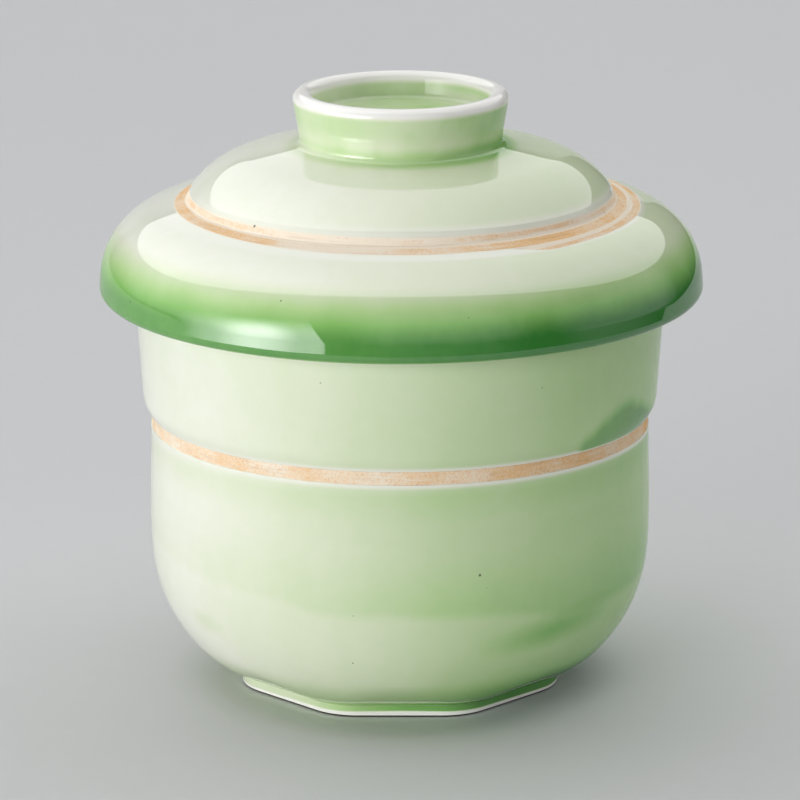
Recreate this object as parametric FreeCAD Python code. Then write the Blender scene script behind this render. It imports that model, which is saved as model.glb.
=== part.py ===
import FreeCAD, Part
import math
import os

# Lidded cup for steamed egg custard, glazed porcelain, in two fired pieces: the cup, a round
# bowl on a low octagonal foot, and the lid, which hangs over the cup's rim and carries a
# hollow ring knob. Millimetres, +Z up. The origin lies on the axis at table level, and one
# side of the foot faces -Y.

V = FreeCAD.Vector
AXIS = V(0, 0, 1)

# Most of a straight run that the roundings at its two ends may use up, and most of an
# octagon's apothem that its corner rounding may
RUN_USED = 0.98
APOTHEM_USED = 0.9

# Octagonal foot
SIDES = 8
FOOT_ACROSS_FLATS = 48.2
FOOT_CORNER_R = 9.0
FOOT_WALL_H = 1.9
FOOT_LEDGE = 0.25
FOOT_RING_W = 3.2
FOOT_RECESS_D = 1.5
FOOT_EDGE_R = 0.35

# Bowl of the cup: the curve from the foot to the belly is a cubic in the height, and its lowest
# part fades from the octagon of the foot to the round in a few stops, the flats first
BOWL_FOOT_OUT = 2.0
BOWL_FOOT_Z = 1.2
BELLY_R = 38.15
BELLY_Z = 27.0
WAIST_IN = 0.25
BLEND_H = 6.1
BLEND_STOPS = (0.0, 0.2, 0.42, 0.68)
FACET_FADE = 1.6
CORNER_FADE = 3.0
FLAT_SHARE_AT_TOP = 0.3

# Bare line round the waist, and the belt above it that swells towards the rim
LINE_Z = 39.9
LINE_W = 2.1
LINE_DEPTH = 0.14
LINE_EDGE = 0.1
BELT_STEP_R = 0.1
BELT_LIP_H = 1.6
BELT_LIP_OUT = 1.0
BELT_LIP_ROUND = 4.0
BELT_FLARE = 2.8
CUP_H = 68.6
CUP_WALL = 3.0
CUP_WAIST_WALL = 2.9
CUP_FLOOR = 4.7
CUP_FLOOR_IN = 4.0
CUP_FLOOR_ROUND = 14.0
CUP_WAIST_ROUND = 68.0
RIM_ROUND = 1.1

# Lid: covers the rim with a loose skirt
SKIRT_PLAY = 2.0
SKIRT_WALL = 3.1
SKIRT_DROP = 8.4
SKIRT_LEAN = 0.85
SKIRT_EDGE_R = 1.3
SHOULDER_RISE = 2.2
SHOULDER_ROUND = 11.0
SHOULDER_W = 13.3
STEP_H = 1.75
STEP_BATTER = 0.9
STEP_ROUND = 0.6
STEP_TOE_RISE = 5.9
DOME_ROUND = 17.0
DOME_SIDE_H = 3.6
DOME_SIDE_IN = 3.3
DOME_TOP_H = 7.8
LID_WALL = 3.2
SEAT_IN = 1.1
SEAT_RELIEF = 1.6
CROWN_RISE = 1.4

# Ring knob on the lid
KNOB_R = 15.1
KNOB_FLARE = 1.3
KNOB_H = 6.8
KNOB_LIP_W = 2.75
KNOB_LIP_ROUND = 1.25
KNOB_HOLLOW_D = 3.8
KNOB_HOLLOW_TAPER = 0.9
KNOB_TOE_R = 0.9
KNOB_FLOOR_R = 0.8

# Heights and radii that follow from the sizes above
HALF_SIDE_ANGLE = math.pi / SIDES
FOOT_APOTHEM = FOOT_ACROSS_FLATS / 2
BOWL_FOOT_R = FOOT_APOTHEM + BOWL_FOOT_OUT
WAIST_R = BELLY_R - WAIST_IN
RIM_R = WAIST_R + BELT_FLARE
BLEND_Z = FOOT_WALL_H + BLEND_H
LINE_TOP_Z = LINE_Z + LINE_W
SKIRT_IN_R = RIM_R + SKIRT_PLAY
SKIRT_R = SKIRT_IN_R + SKIRT_WALL
SKIRT_Z = CUP_H - SKIRT_DROP
STEP_R = SKIRT_R - SHOULDER_W
STEP_Z = CUP_H + STEP_TOE_RISE
DOME_EDGE_R = STEP_R - STEP_BATTER
DOME_EDGE_Z = STEP_Z + STEP_H
DOME_TOP_Z = DOME_EDGE_Z + DOME_TOP_H
KNOB_LIP_R = KNOB_R + KNOB_FLARE
KNOB_TOP_Z = DOME_TOP_Z + KNOB_H


def point(r, z):
    """A point of a section, r out from the axis along X."""
    return V(r, 0, z)


def rounded(corners):
    """Edges of an open outline through (r, z, radius) corners, each rounded by its radius.

    Two roundings that need more than the run between them share it in proportion."""
    places = [point(r, z) for r, z, radius in corners]
    trims = [0.0] * len(corners)
    for i in range(1, len(corners) - 1):
        half_turn = (math.pi - (places[i - 1] - places[i]).getAngle(places[i + 1] - places[i])) / 2
        trims[i] = corners[i][2] * math.tan(half_turn)
    for i in range(1, len(corners)):
        run = (places[i] - places[i - 1]).Length
        share = min(1.0, RUN_USED * run / max(trims[i - 1] + trims[i], RUN_USED * run))
        trims[i - 1] *= share
        trims[i] *= share
    edges = []
    start = places[0]
    for i in range(1, len(corners)):
        corner = places[i]
        if trims[i] == 0:
            edges.append(Part.makeLine(start, corner))
            start = corner
            continue
        back = (places[i - 1] - corner).normalize()
        ahead = (places[i + 1] - corner).normalize()
        half = back.getAngle(ahead) / 2
        first = corner + back * trims[i]
        last = corner + ahead * trims[i]
        reach = trims[i] / math.cos(half) - trims[i] * math.tan(half)
        middle = corner + (back + ahead).normalize() * reach
        edges.append(Part.makeLine(start, first))
        edges.append(Part.Arc(first, middle, last).toShape())
        start = last
    return edges


def turned(edges):
    """Solid of revolution of a closed section about the axis."""
    wire = Part.Wire(Part.__sortEdges__(edges))
    return Part.Face(wire).revolve(V(0, 0, 0), AXIS, 360)


def bowl_radius(z):
    """Radius of the round bowl between foot and belly."""
    share = (BELLY_Z - z) / (BELLY_Z - BOWL_FOOT_Z)
    return BELLY_R - (BELLY_R - BOWL_FOOT_R) * share ** 3


def octagon(apothem, corner_r, z):
    """Rounded octagon at height z, from eight flats and eight corner arcs."""
    half_flat = (apothem - corner_r) * math.tan(HALF_SIDE_ANGLE)
    tip = (apothem - corner_r) / math.cos(HALF_SIDE_ANGLE) + corner_r
    edges = []
    for i in range(SIDES):
        facing = -math.pi / 2 + 2 * HALF_SIDE_ANGLE * i
        out = V(math.cos(facing), math.sin(facing), 0)
        along = V(-out.y, out.x, 0)
        middle = out * apothem + V(0, 0, z)
        turn = facing + HALF_SIDE_ANGLE
        corner = V(math.cos(turn), math.sin(turn), 0) * tip + V(0, 0, z)
        after = facing + 2 * HALF_SIDE_ANGLE
        out_after = V(math.cos(after), math.sin(after), 0)
        along_after = V(-out_after.y, out_after.x, 0)
        end = out_after * apothem - along_after * half_flat + V(0, 0, z)
        edges.append(Part.makeLine(middle - along * half_flat, middle + along * half_flat))
        edges.append(Part.Arc(middle + along * half_flat, corner, end).toShape())
    return Part.Wire(edges)


def round_section(radius, half_angle, z):
    """Circle at height z in the sixteen pieces that match an octagon's."""
    edges = []
    for i in range(SIDES):
        facing = -math.pi / 2 + 2 * HALF_SIDE_ANGLE * i
        stops = (facing - half_angle, facing, facing + half_angle,
                 facing + HALF_SIDE_ANGLE, facing + 2 * HALF_SIDE_ANGLE - half_angle)
        spots = [V(radius * math.cos(a), radius * math.sin(a), z) for a in stops]
        edges.append(Part.Arc(spots[0], spots[1], spots[2]).toShape())
        edges.append(Part.Arc(spots[2], spots[3], spots[4]).toShape())
    return Part.Wire(edges)


def blend_section(share):
    """Outline where the octagon of the foot has faded into the round bowl by this share."""
    z = FOOT_WALL_H + share * BLEND_H
    round_r = bowl_radius(z)
    foot_apothem = FOOT_APOTHEM + FOOT_LEDGE
    foot_tip = (foot_apothem - FOOT_CORNER_R) / math.cos(HALF_SIDE_ANGLE) + FOOT_CORNER_R
    start_r = bowl_radius(FOOT_WALL_H)
    apothem = round_r - (start_r - foot_apothem) * (1 - share) ** FACET_FADE
    tip = round_r - (start_r - foot_tip) * (1 - share) ** CORNER_FADE
    corner_r = (apothem / math.cos(HALF_SIDE_ANGLE) - tip) / (1 / math.cos(HALF_SIDE_ANGLE) - 1)
    return octagon(apothem, min(corner_r, APOTHEM_USED * apothem), z)


def foot_blend():
    """Lower bowl, lofted from the octagon of the foot to the round of the bowl."""
    sections = [blend_section(share) for share in BLEND_STOPS]
    sections.append(round_section(bowl_radius(BLEND_Z), FLAT_SHARE_AT_TOP * HALF_SIDE_ANGLE, BLEND_Z))
    return Part.makeLoft(sections, True, False)


def foot():
    """Standing ring of the foot, with its bottom edge broken."""
    wall = Part.Face(octagon(FOOT_APOTHEM, FOOT_CORNER_R, FOOT_EDGE_R))
    wall = wall.extrude(V(0, 0, FOOT_WALL_H - FOOT_EDGE_R))
    low = octagon(FOOT_APOTHEM - FOOT_EDGE_R, FOOT_CORNER_R - FOOT_EDGE_R, 0)
    edge = Part.makeLoft([low, octagon(FOOT_APOTHEM, FOOT_CORNER_R, FOOT_EDGE_R)], True, True)
    return wall.fuse(edge)


def foot_recess():
    """Shallow recess inside the standing ring."""
    ring = FOOT_APOTHEM - FOOT_RING_W
    wide = octagon(ring, FOOT_CORNER_R - FOOT_RING_W, 0)
    narrow = octagon(ring - FOOT_EDGE_R, FOOT_CORNER_R - FOOT_RING_W - FOOT_EDGE_R, FOOT_RECESS_D)
    return Part.makeLoft([wide, narrow], True, True)


def bowl_and_belt():
    """Everything of the cup above the blend, solid up to the rim."""
    reach = BELLY_Z - BOWL_FOOT_Z
    swell = Part.BezierCurve()
    swell.setPoles([point(BELLY_R, BELLY_Z), point(BELLY_R, BELLY_Z - reach / 3),
                    point(BELLY_R, BELLY_Z - 2 * reach / 3), point(BOWL_FOOT_R, BOWL_FOOT_Z)])
    swell.segment(0, (BELLY_Z - BLEND_Z) / reach)
    belly = Part.BezierCurve()
    rise = LINE_Z - BELLY_Z
    belly.setPoles([point(BELLY_R, BELLY_Z), point(BELLY_R, BELLY_Z + rise / 3),
                    point(WAIST_R, LINE_Z - rise / 3), point(WAIST_R, LINE_Z)])
    line_r = WAIST_R - LINE_DEPTH
    belt_r = WAIST_R + BELT_STEP_R
    corners = [(WAIST_R, LINE_Z, 0),
               (line_r, LINE_Z + LINE_EDGE, 0),
               (line_r, LINE_TOP_Z - LINE_EDGE, 0),
               (belt_r, LINE_TOP_Z, 0),
               (belt_r + BELT_LIP_OUT, LINE_TOP_Z + BELT_LIP_H, BELT_LIP_ROUND),
               (RIM_R, CUP_H, RIM_ROUND),
               (0, CUP_H, 0),
               (0, BLEND_Z, 0),
               (bowl_radius(BLEND_Z), BLEND_Z, 0)]
    return turned([swell.toShape(), belly.toShape()] + rounded(corners))


def cup_hollow():
    """Inside of the cup, flared over the inner edge of the rim."""
    floor_z = FOOT_RECESS_D + CUP_FLOOR
    mouth_r = RIM_R - CUP_WALL
    rim_mid = RIM_R - CUP_WALL / 2
    above = CUP_H + CUP_WALL
    corners = [(0, floor_z, 0),
               (BELLY_R - CUP_FLOOR_IN, floor_z, CUP_FLOOR_ROUND),
               (WAIST_R - CUP_WAIST_WALL, LINE_Z, CUP_WAIST_ROUND),
               (mouth_r, CUP_H, RIM_ROUND),
               (rim_mid, CUP_H, 0),
               (rim_mid, above, 0),
               (0, above, 0),
               (0, floor_z, 0)]
    return turned(rounded(corners))


def make_cup():
    """The whole cup: bowl, belt and foot as one fired piece."""
    body = bowl_and_belt().fuse([foot_blend(), foot()])
    return body.cut([cup_hollow(), foot_recess()]).removeSplitter()


def lid_outside():
    """Corners of the lid's section on top, from the skirt's low edge to the middle of the knob."""
    knob_in = KNOB_LIP_R - KNOB_LIP_W
    hollow_z = KNOB_TOP_Z - KNOB_HOLLOW_D
    return [(SKIRT_R, SKIRT_Z, SKIRT_EDGE_R),
            (SKIRT_R - SKIRT_LEAN, CUP_H + SHOULDER_RISE, SHOULDER_ROUND),
            (STEP_R, STEP_Z, STEP_ROUND),
            (DOME_EDGE_R, DOME_EDGE_Z, STEP_ROUND),
            (DOME_EDGE_R - DOME_SIDE_IN, DOME_EDGE_Z + DOME_SIDE_H, DOME_ROUND),
            (KNOB_R, DOME_TOP_Z, KNOB_TOE_R),
            (KNOB_LIP_R, KNOB_TOP_Z, KNOB_LIP_ROUND),
            (knob_in, KNOB_TOP_Z, KNOB_LIP_ROUND),
            (knob_in - KNOB_HOLLOW_TAPER, hollow_z, KNOB_FLOOR_R),
            (0, hollow_z, 0)]


def lid_inside():
    """Corners of the lid's section underneath, from the middle back to the skirt."""
    seat_in_r = RIM_R - CUP_WALL - SEAT_IN
    crown_z = DOME_TOP_Z - LID_WALL + CROWN_RISE
    haunch_r = DOME_EDGE_R - DOME_SIDE_IN - LID_WALL
    haunch_z = DOME_EDGE_Z + DOME_SIDE_H - LID_WALL
    toe_r = DOME_EDGE_R - LID_WALL
    toe_z = STEP_Z - LID_WALL
    return [(0, crown_z, 0),
            (KNOB_R, crown_z - CROWN_RISE, DOME_ROUND),
            (haunch_r, haunch_z, DOME_ROUND),
            (toe_r, toe_z, SEAT_RELIEF),
            (seat_in_r, CUP_H + SEAT_RELIEF, SEAT_RELIEF),
            (seat_in_r + SEAT_IN, CUP_H, 0),
            (SKIRT_IN_R - SKIRT_LEAN / 2, CUP_H, SKIRT_EDGE_R),
            (SKIRT_IN_R, SKIRT_Z, SKIRT_EDGE_R)]


def make_lid():
    """The whole lid, turned from one section. It rests on the flat of the cup's rim."""
    low_edge = (SKIRT_IN_R + SKIRT_WALL / 2, SKIRT_Z, 0)
    return turned(rounded([low_edge] + lid_outside() + lid_inside() + [low_edge]))


def save(shape, name):
    """Write one piece, and stop if it isn't a single sound solid."""
    if not shape.isValid() or len(shape.Solids) != 1:
        raise ValueError(name + " is not one sound solid")
    shape.Solids[0].exportStep(os.path.join("parts", name + ".step"))
    box = shape.optimalBoundingBox()
    print(name, round(shape.Volume), "mm3,", round(box.XLength, 2), "x", round(box.YLength, 2),
          "mm across, from", round(box.ZMin, 2), "to", round(box.ZMax, 2), "mm high")


os.makedirs("parts", exist_ok=True)
save(make_cup(), "cup")
save(make_lid(), "lid")
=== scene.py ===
import math
from typing import NamedTuple

import bmesh
import bpy
from bpy.props import FloatProperty, FloatVectorProperty, IntProperty, PointerProperty
from mathutils import Matrix, Vector


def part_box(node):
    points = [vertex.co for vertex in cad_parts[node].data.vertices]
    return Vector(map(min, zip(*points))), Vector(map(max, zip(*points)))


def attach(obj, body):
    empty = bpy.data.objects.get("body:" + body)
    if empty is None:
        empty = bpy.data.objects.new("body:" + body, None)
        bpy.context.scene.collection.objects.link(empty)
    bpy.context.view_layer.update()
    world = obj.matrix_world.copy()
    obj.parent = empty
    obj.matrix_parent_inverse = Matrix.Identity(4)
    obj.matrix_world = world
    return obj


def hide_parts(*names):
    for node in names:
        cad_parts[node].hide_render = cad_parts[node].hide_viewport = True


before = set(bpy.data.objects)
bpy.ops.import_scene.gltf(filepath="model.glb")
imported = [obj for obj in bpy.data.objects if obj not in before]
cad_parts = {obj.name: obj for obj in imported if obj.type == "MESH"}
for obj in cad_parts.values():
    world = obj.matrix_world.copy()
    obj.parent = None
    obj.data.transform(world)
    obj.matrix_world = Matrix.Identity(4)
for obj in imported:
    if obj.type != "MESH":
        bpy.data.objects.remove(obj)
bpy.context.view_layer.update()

# Lidded cup for steamed egg custard: the cup and its lid as smooth turned porcelain, under a
# celadon glaze that is thin and pale at edges and dark green where it pools, with bare tan
# lines. Metres, +Z up, the table at z = 0, the photograph taken from -Y.

bl_info = {
    "name": "Chawanmushi cup with lid",
    "version": (1, 0, 0),
    "blender": (4, 5, 0),
    "location": "View3D > Sidebar > Custard cup",
    "description": "Turns a lidded celadon cup for steamed egg custard and sets up its studio",
    "category": "Add Mesh",
}

MM = 0.001
SIDES = 8
HALF_SIDE = math.pi / SIDES
CUP_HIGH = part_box("cup")[1]
LID_LOW, LID_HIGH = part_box("lid")
RIM_Z = CUP_HIGH.z
RIM_R = CUP_HIGH.x
SKIRT_Z = LID_LOW.z
SKIRT_R = LID_HIGH.x
KNOB_Z = LID_HIGH.z


def size(name, millimetres, description):
    """A length that a user can change, given here in millimetres."""
    return FloatProperty(name=name, description=description, default=millimetres * MM,
                         min=0.0, unit="LENGTH", precision=5)


def colour(name, rgb, description):
    """A linear colour that a user can change."""
    return FloatVectorProperty(name=name, description=description, default=rgb, size=3,
                               min=0.0, max=1.0, subtype="COLOR")


def share(name, default, description):
    """A plain number from 0 to 1."""
    return FloatProperty(name=name, description=description, default=default, min=0.0, max=1.0)


class CupShape(bpy.types.PropertyGroup):
    """Sizes of the cup below the lid."""
    foot_across: size("Foot across flats", 48.2, "Width of the octagonal foot between two sides")
    foot_corner: size("Foot corner", 9.0, "Radius of the foot's eight corners")
    foot_height: size("Foot height", 1.9, "Height of the foot's upright wall")
    foot_ledge: size("Foot ledge", 0.25, "How far the bowl stands out over the foot")
    foot_ring: size("Standing ring", 3.2, "Width of the ring that the cup stands on")
    foot_recess: size("Foot recess", 1.5, "Depth of the hollow inside the standing ring")
    foot_edge: size("Foot edge", 0.35, "Bevel of the foot's lowest edge")
    bowl_foot_out: size("Bowl over foot", 2.0, "How far the round bowl stands out at its foot")
    bowl_foot_z: size("Bowl foot height", 1.2, "Height where the bowl's curve starts")
    belly_radius: size("Belly radius", 38.15, "Largest radius of the bowl")
    belly_z: size("Belly height", 27.0, "Height of the bowl's largest radius")
    waist_in: size("Waist", 0.25, "How much narrower the bowl is at the bare line")
    blend: size("Octagon blend", 6.1, "Height in which the octagon fades into the round")
    line_z: size("Bare line height", 39.9, "Lower edge of the bare line round the waist")
    line_width: size("Bare line width", 2.1, "Width of the bare line round the waist")
    line_depth: size("Bare line depth", 0.14, "How far the bare clay lies below the glaze")
    belt_step: size("Belt step", 0.1, "How far the belt stands out over the bowl")
    belt_lip_out: size("Belt lip", 1.0, "How far the belt's rounded lower lip comes out")
    belt_lip_high: size("Belt lip height", 1.6, "Height of the belt's rounded lower lip")
    belt_lip_round: size("Belt lip rounding", 4.0, "Radius of the belt's lower lip")
    wall: size("Wall", 3.0, "Thickness of the cup's wall at the rim")
    waist_wall: size("Waist wall", 2.9, "Thickness of the cup's wall at the waist")
    floor: size("Floor", 4.7, "Thickness of the cup's floor over the recess")
    floor_in: size("Floor edge", 4.0, "How far the inside of the floor stays within the belly")
    floor_round: size("Floor rounding", 14.0, "Radius between the floor and the wall inside")
    waist_round: size("Waist rounding", 68.0, "Radius of the slow bend of the wall inside")
    rim_round: size("Rim rounding", 1.1, "Radius of the rim's two edges")


class LidShape(bpy.types.PropertyGroup):
    """Sizes of the lid and its knob."""
    skirt_wall: size("Skirt wall", 3.1, "Thickness of the skirt that hangs over the rim")
    skirt_lean: size("Skirt lean", 0.85, "How far the skirt leans in up to the shoulder")
    skirt_edge: size("Skirt edge", 1.3, "Radius of the skirt's low edge")
    shoulder_rise: size("Shoulder rise", 2.2, "Height of the shoulder's corner over the rim")
    shoulder_round: size("Shoulder rounding", 11.0, "Radius between skirt and shoulder")
    shoulder_width: size("Shoulder width", 13.3, "From the skirt's outside to the step")
    step_height: size("Step height", 1.75, "Height of the step at the dome's edge")
    step_batter: size("Step batter", 0.9, "How far the step leans in")
    step_round: size("Step rounding", 0.6, "Radius of the step's toe and edge")
    step_toe: size("Step toe", 5.9, "Height of the step's toe over the rim")
    dome_round: size("Dome rounding", 17.0, "Radius of the dome's haunch")
    dome_side_high: size("Dome side height", 4.1, "Rise of the dome's side")
    dome_side_in: size("Dome side", 3.3, "Run of the dome's side")
    dome_high: size("Dome height", 6.6, "Rise of the dome from its edge to the knob")
    wall: size("Lid wall", 3.2, "Thickness of the lid")
    seat_in: size("Seat", 1.1, "How far the seat reaches inside the rim")
    seat_relief: size("Seat relief", 1.6, "Rounding inside the seat")
    crown_rise: size("Crown rise", 1.4, "Rise of the hollow towards the middle")
    knob_radius: size("Knob radius", 15.1, "Radius of the ring knob at its foot")
    knob_flare: size("Knob flare", 1.3, "How much wider the knob is at its lip")
    knob_lip: size("Knob lip", 2.75, "Width of the knob's lip")
    knob_lip_round: size("Knob lip rounding", 1.25, "Radius of the lip's two edges")
    knob_hollow: size("Knob hollow", 3.8, "Depth of the hollow in the knob")
    knob_taper: size("Knob taper", 0.9, "How much the hollow narrows to its floor")
    knob_toe: size("Knob toe", 0.9, "Radius where the knob meets the dome")
    knob_floor: size("Knob floor rounding", 0.8, "Radius round the hollow's floor")
    lean_front: FloatProperty(name="Lean to the front", default=math.radians(0.75),
                              description="How far the lid sits lower at the front",
                              subtype="ANGLE")
    lean_right: FloatProperty(name="Lift on the right", default=math.radians(0.16),
                              description="How far the lid sits higher on the right",
                              subtype="ANGLE")
    aside: size("Aside", 0.17, "How far the lid sits to the right of the cup's axis")


class GlazeLook(bpy.types.PropertyGroup):
    """Colours and gloss of glaze and clay."""
    porcelain: colour("Porcelain", (0.94, 0.93, 0.895), "White clay, bare or under very thin glaze")
    thin: colour("Thin glaze", (0.74, 0.80, 0.60), "Celadon glaze where it is thin")
    middle: colour("Celadon", (0.48, 0.68, 0.31), "Celadon glaze at its usual thickness")
    thick: colour("Thick glaze", (0.25, 0.52, 0.14), "Celadon glaze where it runs together")
    pooled: colour("Pooled glaze", (0.035, 0.21, 0.03), "Celadon glaze where it pools deepest")
    clay: colour("Bare line", (0.83, 0.54, 0.28), "Toasted clay of the bare lines")
    clay_pale: colour("Bare line, pale", (0.88, 0.78, 0.64), "Palest parts of the bare lines")
    clay_dark: colour("Bare line, dark", (0.30, 0.15, 0.07), "Scorched edge of the bare lines")
    # The iron colour also paints the contact shadow along the foot's lowest edge
    iron: colour("Iron specks", (0.03, 0.025, 0.012), "Specks of iron burnt through the glaze")
    glaze_roughness: share("Glaze roughness", 0.07, "Roughness under the clear coat")
    coat_roughness: share("Coat roughness", 0.02, "Roughness of the glaze's outer surface")
    clay_roughness: share("Clay roughness", 0.62, "Roughness of bare clay")


class StudioLook(bpy.types.PropertyGroup):
    """Camera, floor and room."""
    distance: size("Camera distance", 650.0, "From the camera to the point that it looks at")
    aim_height: size("Aim height", 42.75, "Height of the point that the camera looks at")
    elevation: FloatProperty(name="Elevation", description="Camera's angle over the table",
                             default=math.radians(14.75), subtype="ANGLE")
    focal_pixels: FloatProperty(name="Focal length", default=4263.0,
                                description="Focal length in pixels of the 800 pixel picture")
    picture_pixels: IntProperty(name="Picture width", description="Width of the picture",
                                default=800, subtype="PIXEL")
    floor: colour("Floor", (0.655, 0.663, 0.675), "Colour of floor and backdrop")
    room: colour("Room", (0.04, 0.041, 0.043), "Dim light of the rest of the room")


# Spacing of the section's points: on what shows, on what the photograph hides, in the blend of
# octagon and round, from a run's end to the point that guards it, and the turn between two
# points of a rounding
SHOWN_STEP = 0.85 * MM
HIDDEN_STEP = 2.2 * MM
BLEND_STEP = SHOWN_STEP / 2
GUARD = 0.05 * MM
ARC_TURN = math.radians(12)
# How much of a run two roundings may use up, and how many points each ring has
RUN_USED = 0.98
SEGMENTS = 360


def rounded(corners, step):
    """Points (r, z) along an outline of (r, z, radius) corners, rounded by their radii.

    Two roundings that need more than the run between them share it in proportion."""
    places = [Vector((r, z)) for r, z, radius in corners]
    trims = [0.0] * len(corners)
    for i in range(1, len(corners) - 1):
        turn = (places[i] - places[i - 1]).angle(places[i + 1] - places[i])
        trims[i] = corners[i][2] * math.tan(turn / 2)
    for i in range(1, len(corners)):
        run = (places[i] - places[i - 1]).length
        part = min(1.0, RUN_USED * run / max(trims[i - 1] + trims[i], RUN_USED * run))
        trims[i - 1] *= part
        trims[i] *= part
    points = [places[0]]
    for i in range(1, len(corners)):
        back = (places[i - 1] - places[i]).normalized()
        first = places[i] + back * trims[i]
        points += run_points(points[-1], first, step)
        if trims[i] > 0:
            ahead = (places[i + 1] - places[i]).normalized()
            points += arc_points(first, places[i], ahead, trims[i], step)
    return points


def run_points(start, end, step):
    """Points from start, left out, to end, with one close to each end so that shading stays flat."""
    length = (end - start).length
    if length < 4 * GUARD:
        return [end]
    count = max(1, round((length - 2 * GUARD) / step))
    along = (end - start).normalized()
    inner = length - 2 * GUARD
    places = [start + along * (GUARD + inner * k / count) for k in range(count + 1)]
    return places + [end]


def arc_points(first, corner, ahead, trim, step):
    """Points of the rounding that leaves first, trims the corner and goes on ahead."""
    back = (first - corner).normalized()
    half = back.angle(ahead) / 2
    radius = trim * math.tan(half)
    centre = corner + (back + ahead).normalized() * (radius / math.sin(half))
    spoke = first - centre
    last = corner + ahead * trim
    sweep = spoke.angle_signed(last - centre)
    count = max(2, math.ceil(abs(sweep) / ARC_TURN), round(abs(sweep) * radius / step))
    points = []
    for k in range(1, count + 1):
        turned = spoke.copy()
        turned.rotate(Matrix.Rotation(-sweep * k / count, 2))
        points.append(centre + turned)
    return points


def curve_points(first, second, third, fourth, step):
    """Points of a cubic curve with these four control points, its start left out."""
    count = round((fourth - first).length / step)
    points = []
    for k in range(1, count + 1):
        t = k / count
        points.append(first * (1 - t) ** 3 + second * 3 * t * (1 - t) ** 2
                      + third * 3 * t ** 2 * (1 - t) + fourth * t ** 3)
    return points


def octagon_radius(apothem, corner_r, turn):
    """Distance from the axis to a rounded octagon, at an angle from the middle of its front side.

    With a corner radius as large as the apothem it is a circle."""
    inner = apothem - corner_r
    off_flat = abs((turn + HALF_SIDE) % (2 * HALF_SIDE) - HALF_SIDE)
    if off_flat < math.atan(inner * math.tan(HALF_SIDE) / apothem):
        return apothem / math.cos(off_flat)
    hub = inner / math.cos(HALF_SIDE)
    off_corner = HALF_SIDE - off_flat
    return hub * math.cos(off_corner) + math.sqrt(corner_r ** 2 - (hub * math.sin(off_corner)) ** 2)


def fade(value, low, high):
    """Smooth step from 0 at low to 1 at high."""
    t = min(1.0, max(0.0, (value - low) / (high - low)))
    return t * t * (3 - 2 * t)


def turned_piece(name, rings, settle):
    """Mesh object turned from rings of (apothem, corner radius, height), from pole to pole.

    settle moves each finished place to where the piece really sits."""
    bm = bmesh.new()
    loops = []
    for apothem, corner_r, z in rings:
        if apothem <= 0:
            loops.append([bm.verts.new(settle(Vector((0, 0, z))))])
            continue
        loop = []
        for k in range(SEGMENTS):
            turn = 2 * math.pi * k / SEGMENTS
            r = octagon_radius(apothem, corner_r, turn)
            loop.append(bm.verts.new(settle(Vector((r * math.sin(turn), -r * math.cos(turn), z)))))
        loops.append(loop)
    for lower, upper in zip(loops, loops[1:]):
        for k in range(SEGMENTS):
            near = (k + 1) % SEGMENTS
            if len(lower) == 1:
                bm.faces.new((lower[0], upper[near], upper[k]))
            elif len(upper) == 1:
                bm.faces.new((lower[k], lower[near], upper[0]))
            else:
                bm.faces.new((lower[k], lower[near], upper[near], upper[k]))
    bmesh.ops.recalc_face_normals(bm, faces=bm.faces)
    mesh = bpy.data.meshes.new(name)
    bm.to_mesh(mesh)
    bm.free()
    mesh.shade_smooth()
    piece = bpy.data.objects.new(name, mesh)
    bpy.context.scene.collection.objects.link(piece)
    return piece


# How the lid's lean reaches down into the hidden rim, so that lid and rim stay seated
RIM_LEAN_FROM = SKIRT_Z + 0.8 * MM


def lean_lid(place, lid):
    """A place of the lid, leaned about the middle of the rim and set aside."""
    from_rim = place - Vector((0, 0, RIM_Z))
    tilt = Matrix.Rotation(lid.lean_front, 3, "X") @ Matrix.Rotation(-lid.lean_right, 3, "Y")
    return tilt @ from_rim + Vector((lid.aside, 0, RIM_Z))


def lean_rim(place, lid):
    """A place of the cup: the rim's top follows the lid's lean, and nothing below it moves."""
    much = fade(place.z, RIM_LEAN_FROM, RIM_Z)
    rise = place.y * math.tan(lid.lean_front) + place.x * math.tan(lid.lean_right)
    return place + Vector((0, 0, rise * much))


def bowl_radius(cup, z):
    """Radius of the round bowl between foot and belly."""
    foot_r = cup.foot_across / 2 + cup.bowl_foot_out
    part = (cup.belly_z - z) / (cup.belly_z - cup.bowl_foot_z)
    return cup.belly_radius - (cup.belly_radius - foot_r) * part ** 3


# How fast the flats and the corners of the octagon fade into the round bowl
FLAT_FADE = 1.6
CORNER_FADE = 3.0
# Rounding of the foot's edges, and the smallest corner radius as a share of a ring's apothem
LEDGE_ROUND = 0.1 * MM
LEAST_CORNER = 0.3


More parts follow.
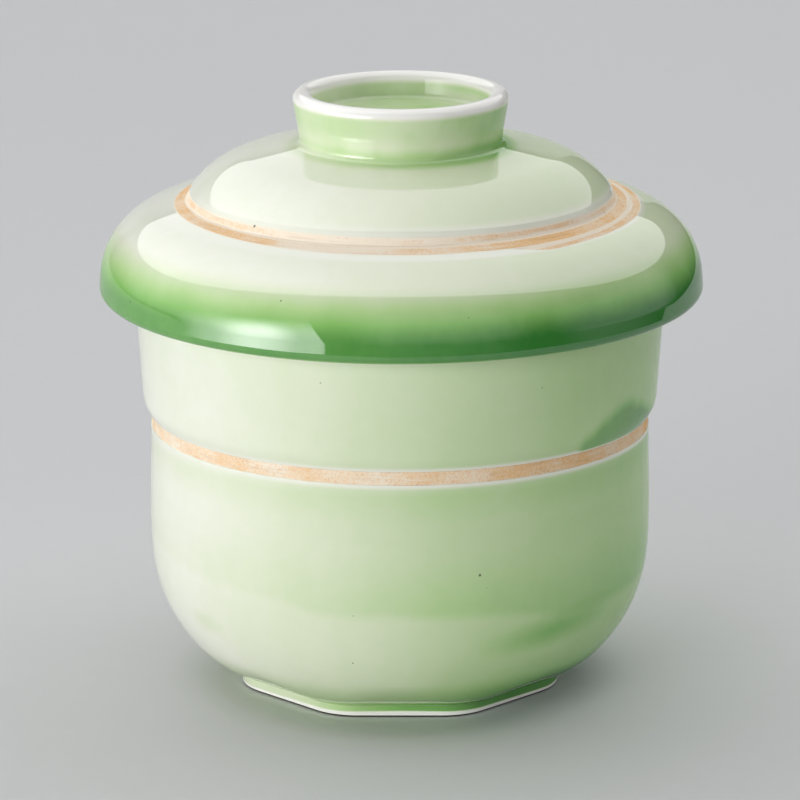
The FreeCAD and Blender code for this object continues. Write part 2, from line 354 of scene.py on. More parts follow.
def foot_rings(cup):
    """Rings of the recess, the standing ring, the foot's wall and the blend into the bowl."""
    apothem = cup.foot_across / 2
    ring = apothem - cup.foot_ring
    outline = rounded([(0, cup.foot_recess, 0),
                       (ring - cup.foot_edge, cup.foot_recess, LEDGE_ROUND),
                       (ring, 0, LEDGE_ROUND),
                       (apothem - cup.foot_edge, 0, LEDGE_ROUND),
                       (apothem, cup.foot_edge, LEDGE_ROUND),
                       (apothem, cup.foot_height, LEDGE_ROUND),
                       (apothem + cup.foot_ledge, cup.foot_height, LEDGE_ROUND),
                       (apothem + cup.foot_ledge + 0.1 * MM, cup.foot_height + 0.2 * MM, 0)],
                      SHOWN_STEP)
    inner = apothem - cup.foot_corner
    rings = []
    for a, z in outline[:-1]:
        rings.append((a, max(min(a - inner, cup.foot_corner), LEAST_CORNER * a), z))
    wide = apothem + cup.foot_ledge
    tip = (wide - cup.foot_corner) / math.cos(HALF_SIDE) + cup.foot_corner
    start_r = bowl_radius(cup, cup.foot_height)
    count = round(cup.blend / BLEND_STEP)
    for k in range(1, count + 1):
        part = k / count
        z = cup.foot_height + part * cup.blend
        round_r = bowl_radius(cup, z)
        a = round_r - (start_r - wide) * (1 - part) ** FLAT_FADE
        corner = round_r - (start_r - tip) * (1 - part) ** CORNER_FADE
        corner_r = (a / math.cos(HALF_SIDE) - corner) / (1 / math.cos(HALF_SIDE) - 1)
        rings.append((a, min(corner_r, a), z))
    return rings


def cup_rings(cup):
    """All rings of the cup, from the middle of the recess to the middle of the floor inside."""
    rings = foot_rings(cup)
    waist_r = cup.belly_radius - cup.waist_in
    top_z = cup.line_z + cup.line_width
    low_z = cup.foot_height + cup.blend
    points = []
    count = round((cup.belly_z - low_z) / SHOWN_STEP)
    for k in range(1, count + 1):
        z = low_z + (cup.belly_z - low_z) * k / count
        points.append(Vector((bowl_radius(cup, z), z)))
    rise = (cup.line_z - cup.belly_z) / 3
    points += curve_points(Vector((cup.belly_radius, cup.belly_z)),
                           Vector((cup.belly_radius, cup.belly_z + rise)),
                           Vector((waist_r, cup.line_z - rise)),
                           Vector((waist_r, cup.line_z)), SHOWN_STEP)[:-1]
    line_edge = 0.1 * MM
    soft = 0.05 * MM
    points += rounded([(waist_r, cup.line_z - rise / 8, 0),
                       (waist_r, cup.line_z, soft),
                       (waist_r - cup.line_depth, cup.line_z + line_edge, soft),
                       (waist_r - cup.line_depth, top_z - line_edge, soft),
                       (waist_r + cup.belt_step, top_z, soft),
                       (waist_r + cup.belt_step + cup.belt_lip_out, top_z + cup.belt_lip_high,
                        cup.belt_lip_round),
                       (RIM_R, RIM_Z, cup.rim_round),
                       (RIM_R - cup.wall / 2, RIM_Z, 0)], SHOWN_STEP)
    floor_z = cup.foot_recess + cup.floor
    points += rounded([(RIM_R - cup.wall / 2, RIM_Z, 0),
                       (RIM_R - cup.wall, RIM_Z, cup.rim_round),
                       (waist_r - cup.waist_wall, cup.line_z, cup.waist_round),
                       (cup.belly_radius - cup.floor_in, floor_z, cup.floor_round),
                       (0, floor_z, 0)], HIDDEN_STEP)[1:]
    return rings + [(r, r, z) for r, z in points]


def lid_rings(cup, lid):
    """All rings of the lid: down the middle of the hollow, round the low edge and up on top."""
    step_z = RIM_Z + lid.step_toe
    step_r = SKIRT_R - lid.shoulder_width
    dome_r = step_r - lid.step_batter
    dome_z = step_z + lid.step_height
    top_z = dome_z + lid.dome_high
    skirt_in = SKIRT_R - lid.skirt_wall
    seat_r = RIM_R - cup.wall - lid.seat_in
    crown_z = top_z - lid.wall + lid.crown_rise
    lip_r = lid.knob_radius + lid.knob_flare
    knob_in = lip_r - lid.knob_lip
    hollow_z = KNOB_Z - lid.knob_hollow
    low_edge = (SKIRT_R - lid.skirt_wall / 2, SKIRT_Z, 0)
    inside = [(0, crown_z, 0),
              (lid.knob_radius, crown_z - lid.crown_rise, lid.dome_round),
              (dome_r - lid.dome_side_in - lid.wall, dome_z + lid.dome_side_high - lid.wall,
               lid.dome_round),
              (dome_r - lid.wall, step_z - lid.wall, lid.seat_relief),
              (seat_r, RIM_Z + lid.seat_relief, lid.seat_relief),
              (seat_r + lid.seat_in, RIM_Z, 0),
              (skirt_in - lid.skirt_lean / 2, RIM_Z, lid.skirt_edge),
              (skirt_in, SKIRT_Z, lid.skirt_edge),
              low_edge]
    outside = [low_edge,
               (SKIRT_R, SKIRT_Z, lid.skirt_edge),
               (SKIRT_R - lid.skirt_lean, RIM_Z + lid.shoulder_rise, lid.shoulder_round),
               (step_r, step_z, lid.step_round),
               (dome_r, dome_z, lid.step_round),
               (dome_r - lid.dome_side_in, dome_z + lid.dome_side_high, lid.dome_round),
               (lid.knob_radius, top_z, lid.knob_toe),
               (lip_r, KNOB_Z, lid.knob_lip_round),
               (knob_in, KNOB_Z, lid.knob_lip_round),
               (knob_in - lid.knob_taper, hollow_z, lid.knob_floor),
               (0, hollow_z, 0)]
    points = rounded(inside, HIDDEN_STEP) + rounded(outside, SHOWN_STEP)[1:]
    return [(r, r, z) for r, z in points]


class Wiring:
    """Adds nodes to one tree and joins them."""

    def __init__(self, tree):
        self.tree = tree

    def add(self, kind, **settings):
        """A new node with these settings."""
        made = self.tree.nodes.new(kind)
        for key, value in settings.items():
            setattr(made, key, value)
        return made

    def join(self, source, socket):
        """Link an output to a socket, or write a plain value into it."""
        if isinstance(source, bpy.types.NodeSocket):
            self.tree.links.new(source, socket)
        else:
            socket.default_value = source

    def calc(self, operation, *values, clamp=False):
        """One math node."""
        made = self.add("ShaderNodeMath", operation=operation, use_clamp=clamp)
        for value, socket in zip(values, made.inputs):
            self.join(value, socket)
        return made.outputs[0]

    def plus(self, first, second):
        """first + second."""
        return self.calc("ADD", first, second)

    def less(self, first, second):
        """first - second."""
        return self.calc("SUBTRACT", first, second)

    def times(self, first, second):
        """first * second."""
        return self.calc("MULTIPLY", first, second)

    def larger(self, first, second):
        """The larger of two values."""
        return self.calc("MAXIMUM", first, second)

    def sine(self, angle):
        """Sine of an angle."""
        return self.calc("SINE", angle)

    def fade(self, value, start, end, low=0.0, high=1.0):
        """Smooth change from low, where value is at start, to high, where it is at end."""
        made = self.add("ShaderNodeMapRange", interpolation_type="SMOOTHSTEP")
        for key, item in (("Value", value), ("From Min", start), ("From Max", end),
                          ("To Min", low), ("To Max", high)):
            self.join(item, made.inputs[key])
        return made.outputs["Result"]

    def hump(self, value, centre, reach):
        """1 at the centre, falling smoothly to 0 at reach on both sides."""
        off = self.calc("ABSOLUTE", self.less(value, centre))
        return self.fade(off, reach, 0.0)

    def window(self, value, low, high, soft):
        """1 between low and high, 0 outside, with soft edges centred on the two limits."""
        up = self.fade(self.less(value, low), -soft, soft)
        down = self.fade(self.less(value, high), soft, -soft)
        return self.times(up, down)

    def both(self, *masks):
        """Product of several masks."""
        made = masks[0]
        for mask in masks[1:]:
            made = self.times(made, mask)
        return made

    def raised(self, value, mask, amount):
        """value + mask * amount."""
        return self.calc("MULTIPLY_ADD", mask, amount, value)

    def toward(self, value, mask, target):
        """value pulled to target where the mask is 1."""
        made = self.add("ShaderNodeMix", data_type="FLOAT")
        self.join(mask, made.inputs[0])
        self.join(value, made.inputs[2])
        self.join(target, made.inputs[3])
        return made.outputs[0]

    def tint(self, mask, first, second):
        """Colour that goes from first to second as the mask goes from 0 to 1."""
        made = self.add("ShaderNodeMix", data_type="RGBA")
        self.join(mask, made.inputs[0])
        self.join(first, made.inputs[6])
        self.join(second, made.inputs[7])
        return made.outputs[2]

    def noise(self, place, grain, detail=2.0, rough=0.5):
        """Noise from 0 to 1 whose features are about grain metres across."""
        made = self.add("ShaderNodeTexNoise")
        self.join(place, made.inputs["Vector"])
        made.inputs["Scale"].default_value = 1 / grain
        made.inputs["Detail"].default_value = detail
        made.inputs["Roughness"].default_value = rough
        return made.outputs["Fac"]

    def swing(self, place, grain, detail=2.0):
        """Noise that swings about 0."""
        return self.less(self.noise(place, grain, detail), 0.5)

    def vector(self, operation, first, second, output="Vector"):
        """One vector math node."""
        made = self.add("ShaderNodeVectorMath", operation=operation)
        self.join(first, made.inputs[0])
        self.join(second, made.inputs[1])
        return made.outputs[output]

    def parts(self, place):
        """The three numbers of a place."""
        made = self.add("ShaderNodeSeparateXYZ")
        self.join(place, made.inputs[0])
        return made.outputs

    def bundle(self, x, y, z):
        """A place from three numbers."""
        made = self.add("ShaderNodeCombineXYZ")
        for value, socket in zip((x, y, z), made.inputs):
            self.join(value, socket)
        return made.outputs[0]

    def raw_place(self):
        """A place on the piece as it stands."""
        return self.add("ShaderNodeTexCoord").outputs["Object"]

    def use(self, group, **values):
        """A placed node group with its inputs filled; names take spaces for underscores."""
        made = self.add("ShaderNodeGroup", node_tree=group)
        for key, value in values.items():
            self.join(value, made.inputs[key.replace("_", " ").capitalize()])
        return made


FLOAT = "NodeSocketFloat"
COLOR = "NodeSocketColor"
VECTOR = "NodeSocketVector"


def new_group(name, takes, gives):
    """Empty node group with these inputs and outputs, given as (name, kind) pairs."""
    tree = bpy.data.node_groups.new(name, "ShaderNodeTree")
    for label, kind in takes:
        tree.interface.new_socket(label, in_out="INPUT", socket_type=kind)
    for label, kind in gives:
        tree.interface.new_socket(label, in_out="OUTPUT", socket_type=kind)
    wiring = Wiring(tree)
    return tree, wiring, wiring.add("NodeGroupInput"), wiring.add("NodeGroupOutput")


def turning_group():
    """Where a point lies on a turned pot: place without its lean, radius, height and angle."""
    tree, w, taken, given = new_group("place on the pot",
                                      [("Lean", VECTOR), ("Aside", VECTOR)],
                                      [("Place", VECTOR), ("Radius", FLOAT), ("Height", FLOAT),
                                       ("Turn", FLOAT)])
    pivot = (0, 0, RIM_Z)
    leaned = w.vector("SUBTRACT", w.vector("SUBTRACT", w.raw_place(), pivot),
                      taken.outputs["Aside"])
    upright = w.add("ShaderNodeVectorRotate", rotation_type="EULER_XYZ", invert=True)
    w.join(leaned, upright.inputs["Vector"])
    w.join(taken.outputs["Lean"], upright.inputs["Rotation"])
    place = w.vector("ADD", upright.outputs[0], pivot)
    x, y, z = w.parts(place)
    radius = w.calc("SQRT", w.plus(w.times(x, x), w.times(y, y)))
    turn = w.calc("ARCTAN2", x, w.times(y, -1.0))
    for value, label in ((place, "Place"), (radius, "Radius"), (z, "Height"), (turn, "Turn")):
        w.join(value, given.inputs[label])
    return tree


# Thickness of the glaze at which it has its thin, its usual and its thick colour
THIN, USUAL, THICK = 0.22, 0.5, 0.75
CLOUD_GRAIN = 2.2 * MM
CLOUD_DEPTH = 0.05


def celadon_group(look):
    """Colour of the glaze for its thickness, from bare white to pooled dark green."""
    tree, w, taken, given = new_group("celadon", [("Thickness", FLOAT), ("Place", VECTOR)],
                                      [("Colour", COLOR)])
    cloud = w.swing(taken.outputs["Place"], CLOUD_GRAIN, 3.0)
    thickness = w.raised(taken.outputs["Thickness"], cloud, CLOUD_DEPTH)
    ramp = w.add("ShaderNodeValToRGB")
    w.join(thickness, ramp.inputs[0])
    stops = ramp.color_ramp.elements
    colours = (look.porcelain, look.thin, look.middle, look.thick, look.pooled)
    for place in (THIN, USUAL, THICK):
        stops.new(place)
    for stop, rgb in zip(stops, colours):
        stop.color = (*rgb, 1.0)
    w.join(ramp.outputs[0], given.inputs["Colour"])
    return tree


# Bare clay: grain and blotches, and how strongly the grain, dark and light streaks show
CLAY_GRAIN = 0.35 * MM
CLAY_BLOTCH = 6 * MM
MOTTLE_SHARE = 0.6
DARK_GRAIN = 0.35
DARK_STREAK = 0.15
LIGHT_STREAK = 0.4


def clay_group(look):
    """Toasted bare clay, grainy and streaked along the wheel's turn."""
    tree, w, taken, given = new_group("bare clay",
                                      [("Place", VECTOR), ("Streaks", FLOAT), ("Pale", FLOAT)],
                                      [("Colour", COLOR), ("Grain", FLOAT)])
    place = taken.outputs["Place"]
    streaks = taken.outputs["Streaks"]
    grain = w.noise(place, CLAY_GRAIN, 3.0, 0.7)
    blotch = w.noise(place, CLAY_BLOTCH)
    pale = w.fade(w.plus(w.times(blotch, MOTTLE_SHARE), w.times(grain, MOTTLE_SHARE)), 0.42, 0.82)
    pale = w.calc("ADD", pale, taken.outputs["Pale"], clamp=True)
    rgb = w.tint(pale, (*look.clay, 1), (*look.clay_pale, 1))
    rgb = w.tint(w.times(w.fade(grain, 0.40, 0.22), DARK_GRAIN), rgb, (*look.clay_dark, 1))
    rgb = w.tint(w.times(w.fade(streaks, 0.42, 0.30), DARK_STREAK), rgb, (*look.clay_dark, 1))
    rgb = w.tint(w.times(w.fade(streaks, 0.58, 0.74), LIGHT_STREAK), rgb, (*look.porcelain, 1))
    w.join(rgb, given.inputs["Colour"])
    w.join(grain, given.inputs["Grain"])
    return tree


# Iron specks that the photograph shows: their places and radii in millimetres
SPECKS = (
    (-21.1, -23.8, 75.1, 0.20),
    (-11.4, -38.1, 55.3, 0.09),
    (20.5, -33.9, 53.5, 0.09),
    (11.6, -36.3, 26.0, 0.20),
    (12.7, -36.0, 23.9, 0.07),
    (-6.8, -37.3, 20.1, 0.08),
    (-6.9, -35.2, 12.2, 0.12),
    (30.2, -12.0, 74.6, 0.10),
    (-16.9, -40.2, 67.9, 0.12),
    (-39.5, -22.0, 63.4, 0.14),
    (9.7, -43.5, 66.2, 0.08),
)
# Specks on the side turned away: their spacing, how few of the cells have one, their size
BACK_SPACING = 7 * MM
BACK_CHOSEN = 0.80
BACK_SIZE = 0.035
SPECK_EDGE = 0.014
SPECK_STRENGTH = 0.8


def speck_group():
    """Iron specks: the ones in the photograph, and a few more on the side turned away."""
    tree, w, taken, given = new_group("iron specks", [("Place", VECTOR)], [("Mask", FLOAT)])
    place = taken.outputs["Place"]
    cells = w.add("ShaderNodeTexVoronoi", feature="F1")
    w.join(place, cells.inputs["Vector"])
    cells.inputs["Scale"].default_value = 1 / BACK_SPACING
    chance = w.add("ShaderNodeSeparateColor")
    w.join(cells.outputs["Color"], chance.inputs[0])
    chosen = w.fade(chance.outputs[0], BACK_CHOSEN, BACK_CHOSEN + 0.02)
    past_edge = w.less(cells.outputs["Distance"], w.times(chance.outputs[1], BACK_SIZE))
    behind = w.fade(w.parts(place)[1], 0.0, 4 * MM)
    mask = w.both(chosen, w.fade(past_edge, SPECK_EDGE, 0.0), behind)
    for x, y, z, radius in SPECKS:
        off = w.vector("DISTANCE", place, (x * MM, y * MM, z * MM), "Value")
        mask = w.larger(mask, w.fade(off, 1.4 * radius * MM, 0.6 * radius * MM))
    w.join(mask, given.inputs["Mask"])
    return tree


SWELL_GRAIN = 9 * MM
PEEL_GRAIN = 1.6 * MM
PEEL_SHARE = 0.10


def skin_group():
    """Height of the fired surface: a faint slow swell and finer orange peel."""
    tree, w, taken, given = new_group("glaze skin", [("Place", VECTOR)], [("Height", FLOAT)])
    swell = w.noise(taken.outputs["Place"], SWELL_GRAIN, 1.0)
    peel = w.noise(taken.outputs["Place"], PEEL_GRAIN)
    w.join(w.raised(swell, peel, PEEL_SHARE), given.inputs["Height"])
    return tree


class Kit:
    """The node groups that both glazes share, built once."""

    def __init__(self, look):
        self.turning = turning_group()
        self.celadon = celadon_group(look)
        self.clay = clay_group(look)
        self.specks = speck_group()
        self.skin = skin_group()


# From here to the materials, thickness is that of the glaze: 0 is bare white, 1 the deepest
# pool. A turn is the angle round the axis from the front, positive to the right, and its sine
# is -1 at the left, 0 at the front and the back, and 1 at the right.

# Painted light and shade: the glaze is made thinnest and palest a little round from the left, where
# the light falls, and thickest and darkest opposite
LIT_SIDE_TURN = math.radians(5)
CLOUDS_GRAIN = 24 * MM
# Runs are four times as high as they are wide
RUN_STRETCH = (1, 1, 0.25)


def even_coat(w, place, turn, base, side_shade, clouds, run_depth, run_width):
    """Thickness of the coat before its pools, with painted light and shade from side to side, and
    the upright runs in it.
    """
    run = w.swing(w.vector("MULTIPLY", place, RUN_STRETCH), run_width)
    # Painted light and shade: thinner, paler glaze towards the lit left, thicker, darker glaze
    # towards the right
    t = w.raised(base, w.sine(w.less(turn, LIT_SIDE_TURN)), side_shade)
    t = w.raised(t, w.swing(place, CLOUDS_GRAIN), clouds)
    return w.raised(t, run, run_depth), run


def second_dip(w, place, height, turn):
    """Thicker coat above a soft wavy edge on the lower bowl, weaker on the left."""
    edge_height = 20.6 * MM
    edge_drop = -3.0 * MM
    edge_wave = 4.0 * MM
    wave = w.swing(w.vector("MULTIPLY", place, (1, 1, 0.2)), 15 * MM, 1.0)
    edge = w.raised(edge_height, w.sine(w.plus(turn, math.radians(10))), edge_drop)
    above = w.less(height, w.raised(edge, wave, edge_wave))
    from_left = w.fade(w.sine(turn), -0.7, 0.1, 0.3, 1.0)
    return w.both(w.fade(above, -1.2 * MM, 1.0 * MM), w.fade(above, 11 * MM, 0.5 * MM), from_left)


def run_low_right(w, height, turn):
    """Run on the lower bowl at the right, which climbs as it goes round."""
    climb = -4.5 * MM
    return w.both(w.hump(turn, math.radians(37), math.radians(24)),
                  w.hump(w.raised(height, turn, climb), 12.6 * MM, 3.6 * MM))


def run_low_left(w, height, turn):
    """Small run on the lower bowl at the left."""
    return w.both(w.hump(turn, math.radians(-52), math.radians(8)),
                  w.hump(height, 14.5 * MM, 2.5 * MM))


def run_on_lip(w, height, turn, runs):
    """Run that gathered over the belt's lower lip on the right, under a crest."""
    crest = w.hump(turn, math.radians(60), math.radians(28))
    top = w.raised(42.3 * MM, crest, 5.6 * MM)
    top = w.raised(top, runs, 3.0 * MM)
    return w.both(w.fade(w.less(height, top), 1.2 * MM, -1.6 * MM),
                  w.window(turn, math.radians(43.2), math.radians(110), math.radians(1.8)),
                  w.fade(height, 41.6 * MM, 42.3 * MM))


# How much thicker the cup's glaze is in each of its runs and pools; low on the right of the bowl and
# the foot it is painted shade
DIP_MORE = 0.12
RIGHT_RUN_MORE = 0.26
LEFT_RUN_MORE = 0.10
LIP_RUN_MORE = 0.32
UNDER_LINE_MORE = 0.07
LOW_BOWL_MORE = 0.26
LEDGE_MORE = 0.10
LOW_RIGHT_SHADE = 0.24
FOOT_RIGHT_SHADE = 0.12
# How thick it is on the foot's wall at the left and front (painted light and shade, pale at the lit
# left), and where it is thin
FOOT_WALL_LIT_LEFT = 0.25
FOOT_WALL_FRONT = 0.80
BY_LINE = 0.10
LEDGE_THIN_AND_HIGHLIGHT = 0.30
ON_RIM = 0.08
ON_STANDING_EDGE = 0.05
# Height of the foot's white standing edge in front, and how much lower it is at the sides
STANDING_HIGH = 0.94 * MM
STANDING_LOWER = 0.35 * MM
STANDING_SOFT = 0.04 * MM


def standing_level(w, level, turn):
    """Height that counts for the white standing edge, raised at the sides."""
    return w.raised(level, w.calc("ABSOLUTE", w.sine(turn)), STANDING_LOWER)


def cup_thickness(w, cup, place, height, turn):
    """Thickness of the cup's glaze."""
    t, runs = even_coat(w, place, turn, base=0.35, side_shade=0.25, clouds=0.16,
                        run_depth=0.05, run_width=7 * MM)
    on_lip = run_on_lip(w, height, turn, runs)
    under_line = w.both(w.window(height, 34 * MM, 38.8 * MM, 0.9 * MM),
                        w.fade(height, 33 * MM, 38.5 * MM))
    # Painted shade: thicker, darker glaze towards the right, low on the bowl and on the foot's wall
    shaded_right = w.fade(w.sine(turn), 0.0, 0.7)
    for mask, more in ((second_dip(w, place, height, turn), DIP_MORE),
                       (run_low_right(w, height, turn), RIGHT_RUN_MORE),
                       (run_low_left(w, height, turn), LEFT_RUN_MORE),
                       (on_lip, LIP_RUN_MORE),
                       (under_line, UNDER_LINE_MORE),
                       (w.fade(height, 9 * MM, 2.2 * MM), LOW_BOWL_MORE),
                       (w.fade(height, 3.2 * MM, 2.4 * MM), LEDGE_MORE),
                       (w.both(w.fade(height, 13 * MM, 2.5 * MM), shaded_right), LOW_RIGHT_SHADE)):
        t = w.raised(t, mask, more)
    ledge_z = cup.foot_height + 0.1 * MM
    # Painted light and shade on the foot's wall: pale at the lit left, darker at the front and
    # darkest on the right
    wall = w.fade(w.sine(turn), -0.75, 0.1, FOOT_WALL_LIT_LEFT, FOOT_WALL_FRONT)
    wall = w.raised(wall, shaded_right, FOOT_RIGHT_SHADE)
    half = cup.line_width / 2
    off_line = w.calc("ABSOLUTE", w.less(height, cup.line_z + half))
    margin = w.raised(half + 0.9 * MM, on_lip, -0.6 * MM)
    standing = w.fade(standing_level(w, height, turn), 1.15 * MM, 0.95 * MM)
    for mask, thickness in ((w.fade(height, ledge_z, cup.foot_height), wall),
                            (w.fade(off_line, margin, half + 0.1 * MM), BY_LINE),
                            # Partly glaze thinned over the ledge's edge, partly a painted highlight
                            # along it
                            (w.hump(height, ledge_z, 0.16 * MM), LEDGE_THIN_AND_HIGHLIGHT),
                            (w.fade(height, RIM_Z - 1.2 * MM, RIM_Z - 0.2 * MM), ON_RIM),
                            (standing, ON_STANDING_EDGE)):
        t = w.toward(t, mask, thickness)
    return t


# How much thicker the lid's glaze is in the skirt, round the knob's toe (pooled, partly painted
# shade) and on the knob (painted shade on its right)
SKIRT_MORE = 0.77
TOE_POOL_AND_SHADE = 0.30
TOE_RIGHT_SHADE = 0.14
BLOTCH_MORE = 0.06
KNOB_TOP_MORE = 0.16
KNOB_RIGHT_SHADE = 0.14
KNOB_LEFT_MORE = 0.12
KNOB_IN_MORE = 0.05
# How thick it is along the skirt's low edge, inside the knob at the right (thin, with painted
# light), and by the rings
LOW_EDGE = 0.62
KNOB_IN_RIGHT_LIT = 0.08
BY_RINGS = 0.10


def skirt_pool(w, height, radius, runs):
    """Where the glaze ran down over the shoulder and stands thickest in the skirt."""
    ran = w.raised(height, runs, 1.6 * MM)
    return w.both(w.fade(ran, 72.2 * MM, 62.8 * MM), w.fade(radius, 41 * MM, 43.5 * MM))


# Height of the knob's outer wall
KNOB_WALL = 8.0 * MM


def knob_glaze(w, t, lid, place, height, radius, turn):
    """Thickness t of the lid's glaze, changed round and on the ring knob, with painted shade at its
    toe and right side and painted light inside it on the right.
    """
    knob = lid.knob_radius
    sine = w.sine(turn)
    toe_z = KNOB_Z - KNOB_WALL
    toe = w.both(w.fade(radius, knob - 0.6 * MM, knob + 0.2 * MM),
                 w.fade(radius, knob + 3.2 * MM, knob + 0.6 * MM),
                 w.fade(height, toe_z + 2.6 * MM, toe_z + 0.4 * MM))
    # Pooled glaze at the knob's toe, partly painted shade under the knob, with more painted shade to
    # the right
    t = w.raised(t, toe, w.raised(TOE_POOL_AND_SHADE, sine, TOE_RIGHT_SHADE))
    on_knob = w.both(w.fade(radius, knob + 2.2 * MM, knob + 1.8 * MM),
                     w.fade(height, toe_z + 0.3 * MM, toe_z + 1.5 * MM))
    blotch = w.noise(w.vector("MULTIPLY", place, (1, 1, 0.6)), 5 * MM)
    inside = w.fade(radius, knob - 1.6 * MM, knob - 2.2 * MM)
    outside = w.fade(radius, knob - 1.6 * MM, knob - 1.0 * MM)
    for mask, more in ((w.fade(blotch, 0.40, 0.62), BLOTCH_MORE),
                       (w.fade(height, KNOB_Z - 7 * MM, KNOB_Z - 3 * MM), KNOB_TOP_MORE),
                       # Painted shade: darker glaze on the knob's right side
                       (w.fade(sine, 0.3, 0.9), KNOB_RIGHT_SHADE),
                       (inside, KNOB_IN_MORE),
                       (w.both(outside, w.fade(sine, 0.0, -0.64)), KNOB_LEFT_MORE)):
        t = w.raised(t, w.both(on_knob, mask), more)
    # Painted light: thin, pale glaze inside the knob on the right, where its inner wall faces the
    # lit left
    lit_inside_right = w.fade(w.times(radius, sine), 1 * MM, 13 * MM, 0.0, 0.8)
    t = w.toward(t, w.both(on_knob, inside, lit_inside_right), KNOB_IN_RIGHT_LIT)
    lip = w.fade(height, KNOB_Z - 1.9 * MM, KNOB_Z - 0.9 * MM)
    return w.toward(t, w.both(on_knob, lip), 0.0)


def lid_thickness(w, lid, place, height, radius, turn):
    """Thickness of the lid's glaze."""
    t, runs = even_coat(w, place, turn, base=0.20, side_shade=0.10, clouds=0.10,
                        run_depth=0.04, run_width=6 * MM)
    t = w.raised(t, skirt_pool(w, height, radius, runs), SKIRT_MORE)
    low_edge = w.both(w.fade(height, 60.7 * MM, 60.0 * MM), w.fade(radius, 44 * MM, 45 * MM))
    t = w.toward(t, low_edge, LOW_EDGE)
    t = knob_glaze(w, t, lid, place, height, radius, turn)
    return w.toward(t, w.window(radius, 31.2 * MM, 36.6 * MM, 0.6 * MM), BY_RINGS)


# Clear outer layer of the glaze, and how deep the surface's swell and the clay's grain are
COAT_WEIGHT = 0.8
COAT_IOR = 2.0
GRAIN_DEPTH = 1.2
BUMP_DEPTH = 0.03 * MM
BUMP_STRENGTH = 0.6


def finish_surface(w, kit, look, glaze, clay, grain, bare, place):
    """Principled surface: glaze under a clear coat, rough clay where the mask bare is 1."""
    shader = w.add("ShaderNodeBsdfPrincipled")
    out = w.add("ShaderNodeOutputMaterial")
    specks = w.times(w.use(kit.specks, place=w.raw_place()).outputs["Mask"], SPECK_STRENGTH)
    rgb = w.tint(specks, w.tint(bare, glaze, clay), (*look.iron, 1))
    w.join(rgb, shader.inputs["Base Color"])
    w.join(w.toward(look.glaze_roughness, bare, look.clay_roughness), shader.inputs["Roughness"])
    w.join(w.fade(bare, 1.0, 0.0, 0.0, COAT_WEIGHT), shader.inputs["Coat Weight"])
    shader.inputs["Coat Roughness"].default_value = look.coat_roughness
    shader.inputs["Coat IOR"].default_value = COAT_IOR
    shader.inputs["Specular IOR Level"].default_value = 0.0
    skin = w.use(kit.skin, place=place).outputs["Height"]
    bump = w.add("ShaderNodeBump")
    w.join(w.raised(skin, w.times(bare, grain), GRAIN_DEPTH), bump.inputs["Height"])
    bump.inputs["Distance"].default_value = BUMP_DEPTH
    bump.inputs["Strength"].default_value = BUMP_STRENGTH
    w.join(bump.outputs[0], shader.inputs["Normal"])
    w.join(shader.outputs[0], out.inputs["Surface"])


def new_material(name):
    """Empty material and its wiring."""
    made = bpy.data.materials.new(name)
    made.use_nodes = True
    made.node_tree.nodes.clear()
    return made, Wiring(made.node_tree)


# The bare line: how ragged its edges are, and how much darker its scorched upper edge is
LINE_RAGGED = 0.22 * MM
LINE_SOFT = 0.05 * MM
SCORCHED = 0.13


def cup_glaze(kit, cup, look):
    """Celadon of the cup, with the bare line round the waist, the white standing edge and a painted
    contact shadow along its lowest edge.
    """
    made, w = new_material("celadon_cup")
    spot = w.use(kit.turning, lean=(0, 0, 0), aside=(0, 0, 0))
    place, radius, height, turn = spot.outputs
    t = cup_thickness(w, cup, place, height, turn)
    glaze = w.use(kit.celadon, thickness=t, place=place).outputs["Colour"]
    level = w.plus(height, w.times(w.swing(place, 1.2 * MM, 3.0), LINE_RAGGED))
    line_top = cup.line_z + cup.line_width
    line = w.window(level, cup.line_z + LINE_SOFT, line_top - LINE_SOFT, LINE_SOFT)
    streaks = w.noise(w.vector("MULTIPLY", place, (0.12, 0.12, 1)), 0.5 * MM, 3.0)
    scorched = w.hump(level, line_top - 0.10 * MM, 0.18 * MM)
    streaks = w.less(streaks, w.times(scorched, SCORCHED))
    # Painted light and shade: the bare line is paler towards the lit left and darker towards the
    # right
    clay = w.use(kit.clay, place=place, streaks=streaks,
                 pale=w.raised(0.04, w.sine(turn), -0.22))
    standing = w.both(w.fade(standing_level(w, level, turn), STANDING_HIGH + STANDING_SOFT,
                             STANDING_HIGH - STANDING_SOFT),
                      w.fade(radius, 20 * MM, 20.6 * MM))
    # Painted contact shadow: the lowest fraction of a millimetre of the standing edge is tinted near
    # black with the iron colour
    painted_contact_shadow = w.times(standing, w.fade(height, 0.36 * MM, 0.22 * MM))
    rgb = w.tint(standing, clay.outputs["Colour"], (*look.porcelain, 1))
    rgb = w.tint(painted_contact_shadow, rgb, (*look.iron, 1))
    finish_surface(w, kit, look, glaze, rgb, clay.outputs["Grain"], w.larger(line, standing), place)
    return made


# How strongly the clay's tan shows in the thin ring, how much darker a burnt edge is
THIN_RING_TAN = 0.8
BURNT = 0.20
RING_SOFT = 0.13 * MM


